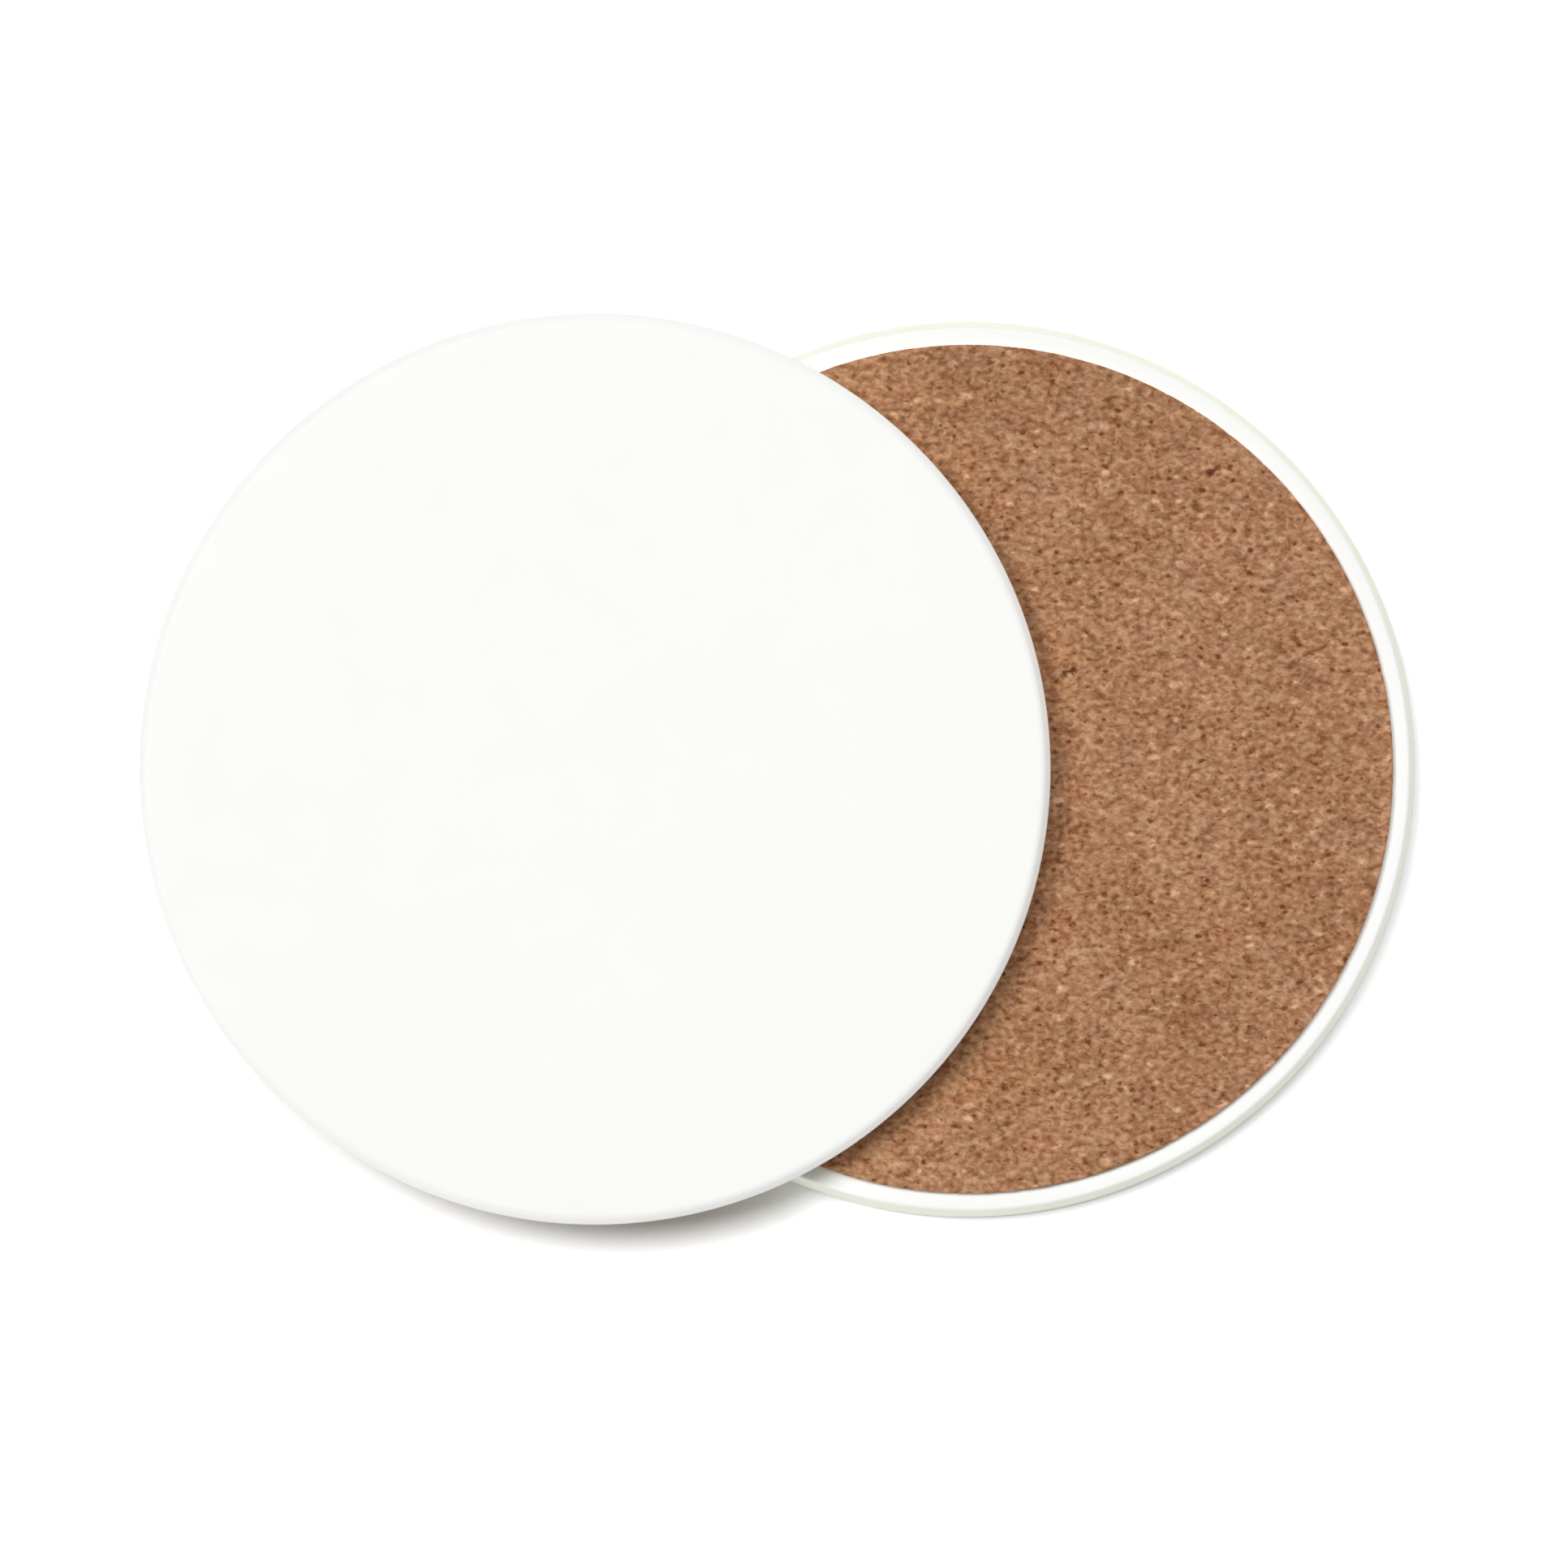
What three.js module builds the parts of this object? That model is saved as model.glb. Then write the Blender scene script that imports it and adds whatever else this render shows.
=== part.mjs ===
// Two round coasters of one make: a pressed ceramic disc with a cork pad bonded to its flat back.
// The lower coaster lies face down, so its cork shows. The upper one lies face up on that cork, off to one side.
// Millimetres, +Z up. The origin is on the table, midway between the two coasters' axes.
import * as THREE from 'three';

// Driving dimensions of one coaster
const discDiameter = 100; // widest part, at the foot of the rounded face edge
const discThickness = 6;
const faceEdgeRadius = 1.2; // between the face and the side wall
const backEdgeRadius = 0.4; // between the side wall and the flat back
const wallDraft = THREE.MathUtils.degToRad(13); // the side wall draws in towards the back
const corkDiameter = 94;
const corkThickness = 1;
const corkEdgeRadius = 0.25; // the free edge, crushed round by the cutting die
const filmThickness = 0.2; // double-sided adhesive, cut by the same die as the cork

// Driving dimension of the pair as it lies
const axisSpacing = 41.2;

// Facets of the round surfaces
const turnFacets = 96;
const roundFacets = 6;

// Levels of one coaster that stands on its cork
const filmLevel = corkThickness;
const discLevel = corkThickness + filmThickness;
const coasterThickness = discLevel + discThickness;

const glazedCeramic = { color: 0xf8f9f4, roughness: 0.4, metalness: 0 };
const pressedCork = { color: 0xa77a59, roughness: 0.92, metalness: 0 };
const adhesiveFilm = { color: 0xd8cba6, roughness: 0.5, metalness: 0 };

// Each section runs from the axis at the lower surface, out round the edge, and back to the axis at the upper one.

function discSection() {
  const faceCentreRadius = discDiameter / 2 - faceEdgeRadius;
  const faceCentreHeight = discThickness - faceEdgeRadius;
  // The wall is tangent to both rounds, which sets how far the back's round is drawn in.
  const roundDifference = faceEdgeRadius - backEdgeRadius;
  const wallRise = faceCentreHeight - backEdgeRadius;
  const drawnIn = (wallRise * Math.sin(wallDraft) - roundDifference) / Math.cos(wallDraft);
  const backCentreRadius = faceCentreRadius - drawnIn;
  const section = new THREE.Path();
  section.moveTo(0, 0);
  section.lineTo(backCentreRadius, 0);
  section.absarc(backCentreRadius, backEdgeRadius, backEdgeRadius, -Math.PI / 2, -wallDraft);
  section.absarc(faceCentreRadius, faceCentreHeight, faceEdgeRadius, -wallDraft, Math.PI / 2);
  section.lineTo(0, discThickness);
  return section;
}

function corkSection() {
  const corkRadius = corkDiameter / 2;
  const edgeCentreRadius = corkRadius - corkEdgeRadius;
  const section = new THREE.Path();
  section.moveTo(0, 0);
  section.lineTo(edgeCentreRadius, 0);
  section.absarc(edgeCentreRadius, corkEdgeRadius, corkEdgeRadius, -Math.PI / 2, 0);
  section.lineTo(corkRadius, corkThickness);
  section.lineTo(0, corkThickness);
  return section;
}

function filmSection() {
  const filmRadius = corkDiameter / 2;
  const section = new THREE.Path();
  section.moveTo(0, 0);
  section.lineTo(filmRadius, 0);
  section.lineTo(filmRadius, filmThickness);
  section.lineTo(0, filmThickness);
  return section;
}

// One coaster with its lowest point at baseLevel. Face down, each section is turned over.
function makeCoaster(prefix, baseLevel, faceUp) {
  const coaster = new THREE.Group();
  const addPiece = (name, section, level, finish) => {
    const outline = section.getPoints(roundFacets / 2).map((point) => {
      const height = level + point.y;
      return new THREE.Vector2(point.x, baseLevel + (faceUp ? height : coasterThickness - height));
    });
    if (!faceUp) {
      outline.reverse();
    }
    const solid = new THREE.LatheGeometry(outline, turnFacets);
    solid.rotateX(Math.PI / 2);
    const piece = new THREE.Mesh(solid, new THREE.MeshStandardMaterial(finish));
    piece.name = prefix + name;
    coaster.add(piece);
  };
  addPiece('cork_pad', corkSection(), 0, pressedCork);
  addPiece('adhesive_film', filmSection(), filmLevel, adhesiveFilm);
  addPiece('ceramic_disc', discSection(), discLevel, glazedCeramic);
  return coaster;
}

const lowerCoaster = makeCoaster('lower_', 0, false);
lowerCoaster.position.x = axisSpacing / 2;

const upperCoaster = makeCoaster('upper_', coasterThickness, true);
upperCoaster.position.x = -axisSpacing / 2;

const coasterPair = new THREE.Group();
coasterPair.add(lowerCoaster, upperCoaster);

export default coasterPair;
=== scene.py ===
import math
import bpy
import numpy as np
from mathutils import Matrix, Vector


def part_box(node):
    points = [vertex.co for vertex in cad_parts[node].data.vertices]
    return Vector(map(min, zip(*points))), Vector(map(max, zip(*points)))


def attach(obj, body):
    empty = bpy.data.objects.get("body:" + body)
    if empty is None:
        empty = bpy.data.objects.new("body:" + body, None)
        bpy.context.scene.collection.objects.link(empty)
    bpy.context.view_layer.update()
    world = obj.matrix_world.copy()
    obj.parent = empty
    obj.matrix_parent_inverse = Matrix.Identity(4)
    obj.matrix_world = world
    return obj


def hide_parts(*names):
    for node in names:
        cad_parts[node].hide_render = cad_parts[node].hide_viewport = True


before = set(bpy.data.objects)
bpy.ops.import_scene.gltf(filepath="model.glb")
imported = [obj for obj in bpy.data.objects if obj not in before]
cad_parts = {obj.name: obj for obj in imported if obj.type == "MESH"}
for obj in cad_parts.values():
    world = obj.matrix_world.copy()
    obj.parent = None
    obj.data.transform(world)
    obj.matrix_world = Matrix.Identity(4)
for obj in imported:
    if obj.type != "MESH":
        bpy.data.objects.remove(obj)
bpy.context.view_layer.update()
mm = 0.001
print("frame loaded with", len(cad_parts), "nodes")


def linearColour(hexText):
    # sRGB hex to the linear colour that shader sockets take
    parts = [int(hexText[i:i + 2], 16) / 255 for i in (1, 3, 5)]
    return [c / 12.92 if c <= 0.04045 else ((c + 0.055) / 1.055) ** 2.4 for c in parts] + [1.0]


def addNode(tree, kind, inputs=None, **settings):
    # one node, its settings, and its inputs as plain values or as links from other sockets
    node = tree.nodes.new(kind)
    for name, value in settings.items():
        setattr(node, name, value)
    for key, value in (inputs or {}).items():
        if isinstance(value, bpy.types.NodeSocket):
            tree.links.new(value, node.inputs[key])
        else:
            node.inputs[key].default_value = value
    return node


def newMaterial(name):
    material = bpy.data.materials.new(name)
    material.use_nodes = True
    return material, material.node_tree, material.node_tree.nodes["Principled BSDF"]


def showPiece(name, mesh, material=None):
    piece = bpy.data.objects.new(name, mesh)
    bpy.context.scene.collection.objects.link(piece)
    if material:
        mesh.materials.append(material)
    return piece


def seat(piece, body, node):
    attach(piece, body)
    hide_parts(node)


def axisOf(node):
    # middle of a round CAD node and its outer radius, lowest and highest level
    low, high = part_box(node)
    return (low.x + high.x) / 2, (low.y + high.y) / 2, (high.x - low.x) / 2, low.z, high.z


def turnedMesh(name, outline, turns, axis, weights=None, weightName=None):
    # revolves an outline of (radius, height) that starts and ends on the axis
    ring = np.arange(turns) * (2 * math.pi / turns)
    rows = outline[1:-1]
    points = [(axis[0], axis[1], outline[0][1])]
    for radius, height in rows:
        points += [(axis[0] + radius * math.cos(a), axis[1] + radius * math.sin(a), height) for a in ring]
    points.append((axis[0], axis[1], outline[-1][1]))
    faces = []
    last = len(points) - 1
    top = 1 + (len(rows) - 1) * turns
    for j in range(turns):
        k = (j + 1) % turns
        faces.append((0, 1 + k, 1 + j))
        faces.append((top + j, top + k, last))
        for i in range(len(rows) - 1):
            a = 1 + i * turns
            b = a + turns
            faces.append((a + j, a + k, b + k, b + j))
    mesh = bpy.data.meshes.new(name)
    mesh.from_pydata(points, [], faces)
    mesh.shade_smooth()
    if weights:
        spread = [weights[0]] + [w for w in weights[1:-1] for _ in range(turns)] + [weights[-1]]
        mesh.attributes.new(weightName, "FLOAT", "POINT").data.foreach_set("value", spread)
    return mesh


# Glazed ceramic disc

discLook = {
    "shoulderRound": 0.88 * mm,  # from the face into the bevel
    "bevel": 0.4 * mm,  # its width seen from above
    "bevelTilt": math.radians(40),  # how far it looks up from the level
    "edgeRound": 0.58 * mm,  # from the bevel into the wall
    "backRound": 0.4 * mm,
    "backInset": 1.37 * mm,  # from the widest part in to the centre of the back's round
    "wallDraft": math.radians(13),
    "turns": 320,
    "roundSteps": 14,
    "straightSteps": 8,
    "flatRings": 9,
    "glazeThick": "#F9F9F7",
    "glazeThin": "#F6F6F3",
    "wallTint": "#F8FAE9",
    "backTint": "#F9FBF9",
    "cloudSize": 14 * mm,
    "roughness": 0.55,
    "roughnessSpread": 0.05,
    "sheenSize": 5 * mm,
    "peelSize": 1.6 * mm,
    "peelDepth": 0.006 * mm,
    "ior": 1.5,
}


def discOutline(radius, backLevel, faceLevel):
    # the section in (radius, height, share), from the middle of the back to the middle of the face
    # share tells the glaze where it is: on the face, the wall or the back
    onFace, onWall, onBack = 0.0, 1.0, -1.0
    up = 1 if faceLevel > backLevel else -1
    thickness = abs(faceLevel - backLevel)
    shoulder, bevel, edge = discLook["shoulderRound"], discLook["bevel"], discLook["edgeRound"]
    tilt, draft = discLook["bevelTilt"], discLook["wallDraft"]
    shoulderInset = edge * (1 - math.cos(tilt)) + bevel + shoulder * math.cos(tilt)
    shoulderCentre = (radius - shoulderInset, thickness - shoulder)
    edgeDrop = (shoulder - edge) * math.sin(tilt) - bevel / math.tan(tilt)
    edgeCentre = (radius - edge, shoulderCentre[1] + edgeDrop)
    backCentre = (radius - discLook["backInset"], discLook["backRound"])
    section = []

    def pointOn(centre, roundRadius, angle):
        return centre[0] + roundRadius * math.cos(angle), centre[1] + roundRadius * math.sin(angle)

    def addFlat(edgeRadius, height, share, outwards):
        steps = np.linspace(0, 1, discLook["flatRings"])[:-1]
        radii = [edgeRadius * math.sqrt(s) for s in steps]
        section.extend((r, height, share) for r in (radii if outwards else radii[::-1]))

    def addRound(centre, roundRadius, start, end, shareStart, shareEnd):
        for s in np.linspace(0, 1, discLook["roundSteps"] + 1):
            r, h = pointOn(centre, roundRadius, start + (end - start) * s)
            section.append((r, h, shareStart + (shareEnd - shareStart) * s))

    def addStraight(end, share):
        start = section[-1]
        for s in np.linspace(0, 1, discLook["straightSteps"] + 1)[1:-1]:
            section.append((start[0] + (end[0] - start[0]) * s, start[1] + (end[1] - start[1]) * s, share))

    addFlat(backCentre[0], 0.0, onBack, True)
    addRound(backCentre, discLook["backRound"], -math.pi / 2, -draft, onBack, onWall)
    addStraight(pointOn(edgeCentre, edge, -draft), onWall)
    addRound(edgeCentre, edge, -draft, tilt, onWall, onFace)
    addStraight(pointOn(shoulderCentre, shoulder, tilt), onFace)
    addRound(shoulderCentre, shoulder, tilt, math.pi / 2, onFace, onFace)
    addFlat(shoulderCentre[0], thickness, onFace, False)
    placed = [(r, backLevel + up * h, share) for r, h, share in section]
    return placed if up > 0 else placed[::-1]


def makeDisc(name, node, body, faceUp, material):
    x, y, radius, low, high = axisOf(node)
    section = discOutline(radius, low if faceUp else high, high if faceUp else low)
    outline = [(r, h) for r, h, share in section]
    shares = [share for r, h, share in section]
    mesh = turnedMesh(name, outline, discLook["turns"], (x, y), shares, "sideShare")
    seat(showPiece(name, mesh, material), body, node)


def glazedCeramic():
    # white satin glaze on pressed stoneware: a soft shine, a faintly clouded face,
    # a greenish ivory wall and a cooler back
    material, tree, shader = newMaterial("satinGlazedStoneware")
    place = addNode(tree, "ShaderNodeTexCoord").outputs["Object"]
    cloud = addNode(tree, "ShaderNodeTexNoise",
                    {"Vector": place, "Scale": 1 / discLook["cloudSize"], "Detail": 3.0})
    body = addNode(tree, "ShaderNodeMix",
                   {0: cloud.outputs[0], 6: linearColour(discLook["glazeThin"]),
                    7: linearColour(discLook["glazeThick"])}, data_type="RGBA")
    side = addNode(tree, "ShaderNodeAttribute", attribute_name="sideShare").outputs["Fac"]
    walled = addNode(tree, "ShaderNodeMix",
                     {0: side, 6: body.outputs[2], 7: linearColour(discLook["wallTint"])}, data_type="RGBA")
    back = addNode(tree, "ShaderNodeMath", {0: side, 1: -1.0}, operation="MULTIPLY")
    tinted = addNode(tree, "ShaderNodeMix",
                     {0: back.outputs[0], 6: walled.outputs[2], 7: linearColour(discLook["backTint"])},
                     data_type="RGBA")
    tree.links.new(tinted.outputs[2], shader.inputs["Base Color"])
    sheen = addNode(tree, "ShaderNodeTexNoise",
                    {"Vector": place, "Scale": 1 / discLook["sheenSize"], "Detail": 2.0})
    rough = addNode(tree, "ShaderNodeMapRange",
                    {0: sheen.outputs[0], 3: discLook["roughness"] - discLook["roughnessSpread"],
                     4: discLook["roughness"] + discLook["roughnessSpread"]})
    tree.links.new(rough.outputs[0], shader.inputs["Roughness"])
    peel = addNode(tree, "ShaderNodeTexNoise",
                   {"Vector": place, "Scale": 1 / discLook["peelSize"], "Detail": 2.0})
    bump = addNode(tree, "ShaderNodeBump", {"Height": peel.outputs[0], "Distance": discLook["peelDepth"]})
    tree.links.new(bump.outputs[0], shader.inputs["Normal"])
    shader.inputs["IOR"].default_value = discLook["ior"]
    return material


# Adhesive film

filmLook = {
    "turns": 240,
    "middleRing": 0.5,  # of the radius
    "bead": 0.06 * mm,
    "beadSteps": 5,
    "honeyDark": "#CDBB8E",
    "honeyPale": "#E2D7B8",
    "cloudSize": 2.5 * mm,
    "roughness": 0.35,
    "ior": 1.47,
}


def makeFilm(name, node, body, material):
    # a flat disc whose edge bulges out as a small bead
    x, y, radius, low, high = axisOf(node)
    middle, half = (low + high) / 2, (high - low) / 2
    ring = radius * filmLook["middleRing"]
    outline = [(0.0, low), (ring, low)]
    for s in np.linspace(-1, 1, filmLook["beadSteps"]):
        outline.append((radius - filmLook["bead"] * s * s, middle + half * s))
    outline += [(ring, high), (0.0, high)]
    mesh = turnedMesh(name, outline, filmLook["turns"], (x, y))
    seat(showPiece(name, mesh, material), body, node)


def acrylicAdhesive():
    # clear acrylic adhesive: a thin honey-coloured line with a wet edge
    material, tree, shader = newMaterial("acrylicAdhesive")
    place = addNode(tree, "ShaderNodeTexCoord").outputs["Object"]
    cloud = addNode(tree, "ShaderNodeTexNoise",
                    {"Vector": place, "Scale": 1 / filmLook["cloudSize"], "Detail": 3.0})
    tone = addNode(tree, "ShaderNodeMix",
                   {0: cloud.outputs[0], 6: linearColour(filmLook["honeyDark"]),
                    7: linearColour(filmLook["honeyPale"])}, data_type="RGBA")
    tree.links.new(tone.outputs[2], shader.inputs["Base Color"])
    shader.inputs["Roughness"].default_value = filmLook["roughness"]
    shader.inputs["IOR"].default_value = filmLook["ior"]
    return material


# Cork pad

corkLook = {
    "edgeRound": 0.25 * mm,
    "edgeSteps": 3,
    "wallRows": 4,
    "rings": 168,
    # grain sizes along X, Y and Z in millimetres, from the finest to the broadest
    "crumb": (0.8, 0.6, 0.545),
    "granule": (1.7, 1.3, 1.3),
    "clump": (3.4, 2.6, 2.6),
    "stain": (6.0, 5.0, 5.0),
    "shade": (12.0, 10.0, 10.0),
    "detail": {"crumb": 1.6, "granule": 0.0, "clump": 1.0, "stain": 2.0, "shade": 2.0},
    "fineShare": 0.55,  # strength of each finer layer of detail
    "crumbCurl": 0.25,
    "turn": (0.6, 0.5, 0.4),  # radians
    # cells that may hold one spot, in millimetres
    "pit": (1.8, 1.3, 1.3),
    "chip": (2.6, 1.6, 1.6),
    "knot": (16.0, 14.0, 14.0),
    # the share of cells that stay empty, then the least and the largest spot in cells
    "pitSpots": (0.5, 0.1, 0.3),
    "chipSpots": (0.64, 0.1, 0.38),
    "knotSpots": (0.72, 0.05, 0.09),
    "spotCore": 0.3,  # of a spot's radius, before it fades
    "spotFade": 0.2,
    "warp": 0.5 * mm,  # how far the outlines of granules and spots are pushed about
    "warpSize": 0.58 * mm,
    # painted shade along the seams between granules, where the relief carves no groove
    "seamWidth": 0.07,
    "seamBreak": (0.62, 0.42),  # crumb values between which the painted seam shade comes up
    "granuleDepth": 0.14 * mm,
    "clumpDepth": 0.08 * mm,
    "pitDepth": -0.14 * mm,
    "sandedLevel": -0.1 * mm,
    # from the darkest crumbs to the palest
    "sandy": ("#6C4223", "#8B6142", "#A77D5E", "#C3997A", "#E2B899"),
    "ruddy": ("#6F3B1B", "#8E5A3A", "#AA7656", "#C69272", "#E5B191"),
    "honeyTint": "#FFFFF0",
    "knotTone": "#55290F",
    "toneMix": {"crumb": 1.25, "granule": 0.08, "clump": 0.07, "shade": 0.31},
    # its seam term is painted shade that darkens the crevices between granules
    "spotMix": {"pit": -0.37, "chip": 0.32, "seam": -0.17},
    "blushMix": {"clump": -1.3, "stain": 0.9},
    "honeyMix": {"granule": 1.2, "stain": 1.0, "shade": -0.5},
    "bumpMix": {"crumb": 1.0, "pit": -0.4, "chip": 0.2},
    "knotBreak": (0.62, 0.38),  # crumb values between which a knot comes up
    "knotLeast": 0.15,
    "bumpDepth": 0.1 * mm,
    "roughness": 0.9,
    "specular": 0.25,
}


def corkBlank(name, axis, radius, freeLevel, bondedLevel):
    # a flat blank with even triangles on its free face and rows down its cut edge
    sectors = 6  # ring k has 6 k points, so that the triangles stay even
    up = 1 if freeLevel > bondedLevel else -1
    rings, edgeRound = corkLook["rings"], corkLook["edgeRound"]
    flatRadius = radius - edgeRound
    points = [(0.0, 0.0, 0.0)]
    starts = [0]
    for k in range(1, rings + 1):
        starts.append(len(points))
        angles = np.arange(sectors * k) * (2 * math.pi / (sectors * k))
        r = flatRadius * k / rings
        points += [(r * math.cos(a), r * math.sin(a), 0.0) for a in angles]
    faces = []
    for k in range(rings):
        inner, outer = max(sectors * k, 1), sectors * (k + 1)
        for sector in range(sectors):
            for i in range(k + 1):
                a = starts[k] + (sector * k + i) % inner
                b = starts[k + 1] + (sector * (k + 1) + i) % outer
                c = starts[k + 1] + (sector * (k + 1) + i + 1) % outer
                faces.append((a, b, c))
                if i < k:
                    faces.append((a, c, starts[k] + (sector * k + i + 1) % inner))
    rim = sectors * rings
    thickness = abs(freeLevel - bondedLevel)
    angles = np.arange(rim) * (2 * math.pi / rim)
    edgeSteps, wallRows = corkLook["edgeSteps"], corkLook["wallRows"]
    leans = [math.pi / 2 * (i + 1) / edgeSteps for i in range(edgeSteps)]
    cutEdge = [(flatRadius + edgeRound * math.sin(t), -edgeRound * (1 - math.cos(t))) for t in leans]
    wallStep = (thickness - edgeRound) / wallRows
    cutEdge += [(radius, -edgeRound - wallStep * (i + 1)) for i in range(wallRows)]
    upper = starts[rings]
    for r, h in cutEdge:
        lower = len(points)
        points += [(r * math.cos(a), r * math.sin(a), h) for a in angles]
        faces += [(upper + j, lower + j, lower + (j + 1) % rim, upper + (j + 1) % rim) for j in range(rim)]
        upper = lower
    points.append((0.0, 0.0, -thickness))
    faces += [(upper + j, len(points) - 1, upper + (j + 1) % rim) for j in range(rim)]
    placed = [(axis[0] + px, axis[1] + py, freeLevel + up * pz) for px, py, pz in points]
    mesh = bpy.data.meshes.new(name)
    mesh.from_pydata(placed, [], faces if up > 0 else [f[::-1] for f in faces])
    mesh.shade_smooth()
    # the last row and the bonded side lie on the film and take no grain
    shares = [1.0] * upper + [0.0] * (len(points) - upper)
    mesh.attributes.new("openShare", "FLOAT", "POINT").data.foreach_set("value", shares)
    return mesh


def weightedSum(tree, start, pattern, weights):
    # start plus each named socket of the pattern times its weight
    total = start
    for name, weight in weights.items():
        total = addNode(tree, "ShaderNodeMath", {0: pattern[name], 1: weight, 2: total},
                        operation="MULTIPLY_ADD").outputs[0]
    return total


def evenMix(tree, pattern, weights):
    # a weighted sum that stays around 0.5, as each of its sockets does
    return weightedSum(tree, 0.5 - 0.5 * sum(weights.values()), pattern, weights)


def addCorkPattern(tree, place):
    # the same granules for the relief and for the colours, each socket about 0 to 1
    def perMetre(name):
        return [1 / (size * mm) for size in corkLook[name]]

    def cloud(name, source, curl=0.0):
        # turned, so that no row of the noise lies along the face and shows as a weave
        scaled = addNode(tree, "ShaderNodeVectorMath", {0: source, 1: perMetre(name)}, operation="MULTIPLY")
        turned = addNode(tree, "ShaderNodeVectorRotate",
                         {"Vector": scaled.outputs[0], "Rotation": corkLook["turn"]},
                         rotation_type="EULER_XYZ")
        return addNode(tree, "ShaderNodeTexNoise",
                       {"Vector": turned.outputs[0], "Scale": 1.0, "Detail": corkLook["detail"][name],
                        "Roughness": corkLook["fineShare"], "Distortion": curl}).outputs[0]

    def spots(name, source):
        # one soft spot in some of the cells, each with a size of its own
        empty, small, large = corkLook[name + "Spots"]
        scaled = addNode(tree, "ShaderNodeVectorMath", {0: source, 1: perMetre(name)}, operation="MULTIPLY")
        cell = addNode(tree, "ShaderNodeTexVoronoi", {"Vector": scaled.outputs[0], "Scale": 1.0},
                       voronoi_dimensions="2D").outputs
        chance = addNode(tree, "ShaderNodeVectorMath", {0: cell["Color"], 1: (1.0, 0.0, 0.0)},
                         operation="DOT_PRODUCT").outputs["Value"]
        size = addNode(tree, "ShaderNodeVectorMath", {0: cell["Color"], 1: (0.0, 1.0, 0.0)},
                       operation="DOT_PRODUCT").outputs["Value"]
        reach = addNode(tree, "ShaderNodeMapRange", {0: size, 3: small, 4: large}).outputs[0]
        ratio = addNode(tree, "ShaderNodeMath", {0: cell["Distance"], 1: reach}, operation="DIVIDE")
        body = addNode(tree, "ShaderNodeMapRange",
                       {0: ratio.outputs[0], 1: corkLook["spotCore"], 2: 1.0, 3: 1.0, 4: 0.0},
                       interpolation_type="SMOOTHSTEP")
        there = addNode(tree, "ShaderNodeMapRange", {0: chance, 1: empty, 2: empty + corkLook["spotFade"]})
        return addNode(tree, "ShaderNodeMath", {0: body.outputs[0], 1: there.outputs[0]},
                       operation="MULTIPLY").outputs[0]

    wave = addNode(tree, "ShaderNodeTexNoise",
                   {"Vector": place, "Scale": 1 / corkLook["warpSize"], "Detail": 1.0})
    warped = addNode(tree, "ShaderNodeVectorMath",
                     {0: wave.outputs["Color"], 1: [corkLook["warp"]] * 3, 2: place},
                     operation="MULTIPLY_ADD").outputs[0]
    crumb = cloud("crumb", place, corkLook["crumbCurl"])
    granule = cloud("granule", warped)
    # painted shade: a dark seam follows the middle value of the granules, is broken up by the crumbs, and
    # stands in for the shadow in the crevices between them
    offMiddle = addNode(tree, "ShaderNodeMath", {0: granule, 1: -0.5}, operation="ADD")
    offLine = addNode(tree, "ShaderNodeMath", {0: offMiddle.outputs[0]}, operation="ABSOLUTE")
    seamShadeLine = addNode(tree, "ShaderNodeMapRange",
                   {0: offLine.outputs[0], 1: 0.0, 2: corkLook["seamWidth"], 3: 1.0, 4: 0.0},
                   interpolation_type="SMOOTHSTEP")
    seamShadeOff, seamShadeFull = corkLook["seamBreak"]
    seamShadeBroken = addNode(tree, "ShaderNodeMapRange", {0: crumb, 1: seamShadeOff, 2: seamShadeFull})
    seam = addNode(tree, "ShaderNodeMath", {0: seamShadeLine.outputs[0], 1: seamShadeBroken.outputs[0]}, operation="MULTIPLY")
    return {"crumb": crumb,
            "granule": granule,
            "clump": cloud("clump", warped),
            "stain": cloud("stain", place),
            "shade": cloud("shade", place),
            "seam": seam.outputs[0],
            "pit": spots("pit", warped),
            "chip": spots("chip", warped),
            "knot": spots("knot", warped)}


def corkGrainTree():
    # sinks the granules, clumps and pits into a blank, and sands off what stands above its face
    tree = bpy.data.node_groups.new("corkGrain", "GeometryNodeTree")
    tree.interface.new_socket("Geometry", in_out="INPUT", socket_type="NodeSocketGeometry")
    for name in ("Granule Depth", "Clump Depth", "Pit Depth", "Sanded Level"):
        tree.interface.new_socket(name, in_out="INPUT", socket_type="NodeSocketFloat")
    tree.interface.new_socket("Material", in_out="INPUT", socket_type="NodeSocketMaterial")
    tree.interface.new_socket("Geometry", in_out="OUTPUT", socket_type="NodeSocketGeometry")
    given = addNode(tree, "NodeGroupInput").outputs
    place = addNode(tree, "GeometryNodeInputPosition").outputs[0]
    pattern = addCorkPattern(tree, place)
    height = weightedSum(tree, given["Sanded Level"], pattern,
                         {"granule": given["Granule Depth"], "clump": given["Clump Depth"],
                          "pit": given["Pit Depth"]})
    sanded = addNode(tree, "ShaderNodeMath", {0: height, 1: 0.0}, operation="MINIMUM")
    share = addNode(tree, "GeometryNodeInputNamedAttribute", {"Name": "openShare"}, data_type="FLOAT")
    depth = addNode(tree, "ShaderNodeMath", {0: sanded.outputs[0], 1: share.outputs[0]},
                    operation="MULTIPLY")
    normal = addNode(tree, "GeometryNodeInputNormal")
    offset = addNode(tree, "ShaderNodeVectorMath", {0: normal.outputs[0], "Scale": depth.outputs[0]},
                     operation="SCALE")
    moved = addNode(tree, "GeometryNodeSetPosition",
                    {"Geometry": given["Geometry"], "Offset": offset.outputs[0]})
    whole = addNode(tree, "GeometryNodeRealizeInstances", {"Geometry": moved.outputs[0]})
    coated = addNode(tree, "GeometryNodeSetMaterial",
                     {"Geometry": whole.outputs[0], "Material": given["Material"]})
    addNode(tree, "NodeGroupOutput", {"Geometry": coated.outputs[0]})
    return tree


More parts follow.
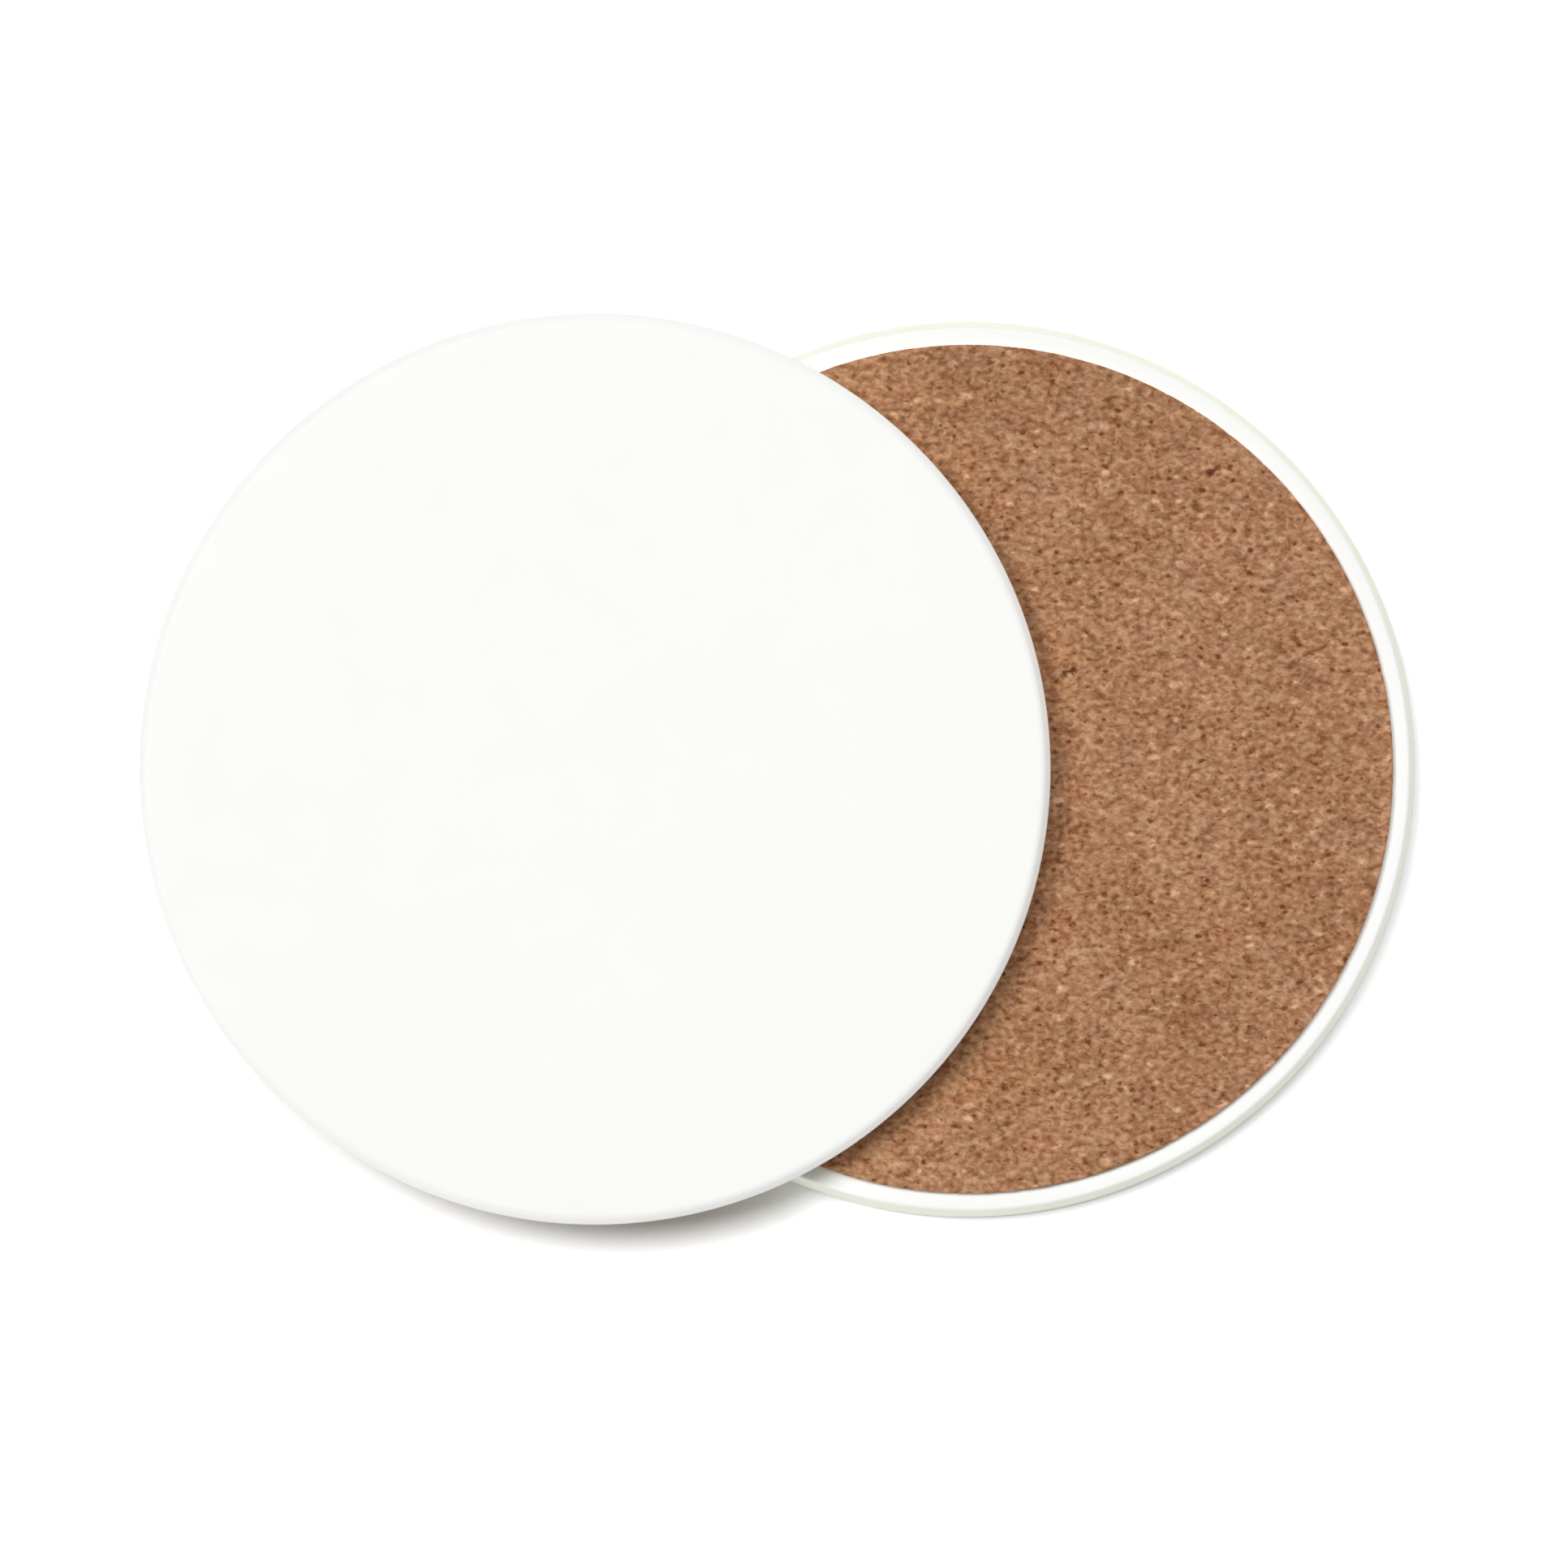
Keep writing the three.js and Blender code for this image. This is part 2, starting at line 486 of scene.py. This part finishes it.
def makeCork(name, node, body, freeUp, tree, material):
    x, y, radius, low, high = axisOf(node)
    blank = corkBlank(name + "Blank", (x, y), radius, high if freeUp else low, low if freeUp else high)
    pad = showPiece(name, blank)
    grain = pad.modifiers.new("grain", "NODES")
    grain.node_group = tree
    values = {"Granule Depth": corkLook["granuleDepth"],
              "Clump Depth": corkLook["clumpDepth"],
              "Pit Depth": corkLook["pitDepth"],
              "Sanded Level": corkLook["sandedLevel"],
              "Material": material}
    for socket in tree.interface.items_tree:
        if socket.in_out == "INPUT" and socket.name in values:
            grain[socket.identifier] = values[socket.name]
    graph = bpy.context.evaluated_depsgraph_get()
    finished = bpy.data.meshes.new_from_object(pad.evaluated_get(graph))
    pad.modifiers.remove(grain)
    pad.data = finished
    finished.name = name
    bpy.data.meshes.remove(blank)
    seat(pad, body, node)


def pressedCork():
    # pressed and sanded cork granules: dry and matt, sandy to ruddy crumbs
    # with dark pits, pale chips, a few dark knots and painted shade along the seams between granules
    material, tree, shader = newMaterial("pressedCork")
    place = addNode(tree, "ShaderNodeTexCoord").outputs["Object"]
    pattern = addCorkPattern(tree, place)
    # the spot mix darkens the seams with painted shade
    tone = weightedSum(tree, evenMix(tree, pattern, corkLook["toneMix"]), pattern, corkLook["spotMix"])
    ramps = []
    for colours in (corkLook["sandy"], corkLook["ruddy"]):
        ramp = addNode(tree, "ShaderNodeValToRGB", {0: tone})
        stops = ramp.color_ramp.elements
        while len(stops) < len(colours):
            stops.new(1.0)
        for i, (stop, colour) in enumerate(zip(stops, colours)):
            stop.position = i / (len(colours) - 1)
            stop.color = linearColour(colour)
        ramps.append(ramp.outputs[0])
    blush = evenMix(tree, pattern, corkLook["blushMix"])
    blushed = addNode(tree, "ShaderNodeMix", {0: blush, 6: ramps[0], 7: ramps[1]}, data_type="RGBA")
    honey = evenMix(tree, pattern, corkLook["honeyMix"])
    honeyed = addNode(tree, "ShaderNodeMix",
                      {0: honey, 6: blushed.outputs[2], 7: linearColour(corkLook["honeyTint"])},
                      data_type="RGBA", blend_type="MULTIPLY")
    knotFaint, knotFull = corkLook["knotBreak"]
    barky = addNode(tree, "ShaderNodeMapRange",
                    {0: pattern["crumb"], 1: knotFaint, 2: knotFull, 3: corkLook["knotLeast"], 4: 1.0})
    knotShare = addNode(tree, "ShaderNodeMath", {0: pattern["knot"], 1: barky.outputs[0]},
                        operation="MULTIPLY")
    knotted = addNode(tree, "ShaderNodeMix",
                      {0: knotShare.outputs[0], 6: honeyed.outputs[2],
                       7: linearColour(corkLook["knotTone"])}, data_type="RGBA")
    tree.links.new(knotted.outputs[2], shader.inputs["Base Color"])
    shader.inputs["Roughness"].default_value = corkLook["roughness"]
    shader.inputs["Specular IOR Level"].default_value = corkLook["specular"]
    height = weightedSum(tree, 0.0, pattern, corkLook["bumpMix"])
    bump = addNode(tree, "ShaderNodeBump", {"Height": height, "Distance": corkLook["bumpDepth"]})
    tree.links.new(bump.outputs[0], shader.inputs["Normal"])
    return material


stoneware = glazedCeramic()
adhesive = acrylicAdhesive()
cork = pressedCork()
grainTree = corkGrainTree()
print("materials made")

makeDisc("lowerGlazedDisc", "lower_ceramic_disc", "lower_coaster", False, stoneware)
makeDisc("upperGlazedDisc", "upper_ceramic_disc", "upper_coaster", True, stoneware)
print("ceramic discs turned")

makeFilm("lowerAdhesive", "lower_adhesive_film", "lower_coaster", adhesive)
makeFilm("upperAdhesive", "upper_adhesive_film", "upper_coaster", adhesive)
print("adhesive films laid")

makeCork("lowerCork", "lower_cork_pad", "lower_coaster", True, grainTree, cork)
makeCork("upperCork", "upper_cork_pad", "upper_coaster", False, grainTree, cork)
print("cork pads cut and grained")


# Stage, light and camera

stageLook = {
    "floorSize": 6.0,
    "floorSeen": 1.25,  # the paper as the camera sees it, so that it comes out white
    "floorBounce": 0.92,  # the paper as it lights the object
    "worldSeen": 1.0,
    "worldLight": 0.02,
    "worldColour": "#FFFFFF",
    "cameraPlace": (0.14 * mm, -1.65 * mm, 688.5 * mm),
    "lens": 141.3,
    "sensor": 36,
    # azimuth, elevation, level and softness; azimuth 0 stands at +Y and 90 at +X
    "lamps": {
        "topBox": (-60, 66, 0.57, 20),
        "backBox": (0, 74, 0.35, 20),
        "frontFill": (180, 8, 0.28, 24),
        "leftFill": (-115, 8, 0.11, 24),
        "rightFill": (62, 8, 0.26, 24),
    },
}


def backgroundShare(tree):
    # 1 where the camera, a reflection or a clear piece looks at the stage,
    # 0 where the stage only lights the object
    path = addNode(tree, "ShaderNodeLightPath").outputs
    direct = addNode(tree, "ShaderNodeMath", {0: path["Is Camera Ray"], 1: path["Is Glossy Ray"]},
                     operation="MAXIMUM")
    return addNode(tree, "ShaderNodeMath", {0: direct.outputs[0], 1: path["Is Transmission Ray"]},
                   operation="MAXIMUM").outputs[0]


def makeFloor():
    # matt white paper: no shine of its own, only the soft shadows on it
    half = stageLook["floorSize"] / 2
    corners = [(-half, -half, 0), (half, -half, 0), (half, half, 0), (-half, half, 0)]
    mesh = bpy.data.meshes.new("floor")
    mesh.from_pydata(corners, [], [(0, 1, 2, 3)])
    material, tree, shader = newMaterial("whitePaperFloor")
    level = addNode(tree, "ShaderNodeMapRange",
                    {0: backgroundShare(tree), 3: stageLook["floorBounce"], 4: stageLook["floorSeen"]})
    paper = addNode(tree, "ShaderNodeBsdfDiffuse", {"Color": level.outputs[0]})
    tree.links.new(paper.outputs[0], tree.nodes["Material Output"].inputs["Surface"])
    tree.nodes.remove(shader)
    showPiece("floor", mesh, material)


def makeWorld():
    world = bpy.data.worlds.new("whiteTent")
    bpy.context.scene.world = world
    world.use_nodes = True
    tree = world.node_tree
    level = addNode(tree, "ShaderNodeMapRange",
                    {0: backgroundShare(tree), 3: stageLook["worldLight"], 4: stageLook["worldSeen"]})
    background = tree.nodes["Background"]
    tree.links.new(level.outputs[0], background.inputs["Strength"])
    background.inputs["Color"].default_value = linearColour(stageLook["worldColour"])


def makeLamp(name, azimuth, elevation, level, softness):
    # a far soft box: level 1 lights a facing white card to white
    lamp = bpy.data.lights.new(name, "SUN")
    lamp.energy = level * math.pi
    lamp.angle = math.radians(softness)
    holder = bpy.data.objects.new(name, lamp)
    a, e = math.radians(azimuth), math.radians(elevation)
    towards = Vector((math.sin(a) * math.cos(e), math.cos(a) * math.cos(e), math.sin(e)))
    holder.rotation_mode = "QUATERNION"
    holder.rotation_quaternion = towards.to_track_quat("Z", "Y")
    bpy.context.scene.collection.objects.link(holder)


def makeCamera():
    lens = bpy.data.cameras.new("camera")
    lens.lens = stageLook["lens"]
    lens.sensor_width = stageLook["sensor"]
    camera = bpy.data.objects.new("camera", lens)
    camera.location = stageLook["cameraPlace"]
    bpy.context.scene.collection.objects.link(camera)
    bpy.context.scene.camera = camera


makeFloor()
makeWorld()
for lampName, setting in stageLook["lamps"].items():
    makeLamp(lampName, *setting)
makeCamera()
bpy.context.scene.view_settings.view_transform = "Standard"
print("stage set")
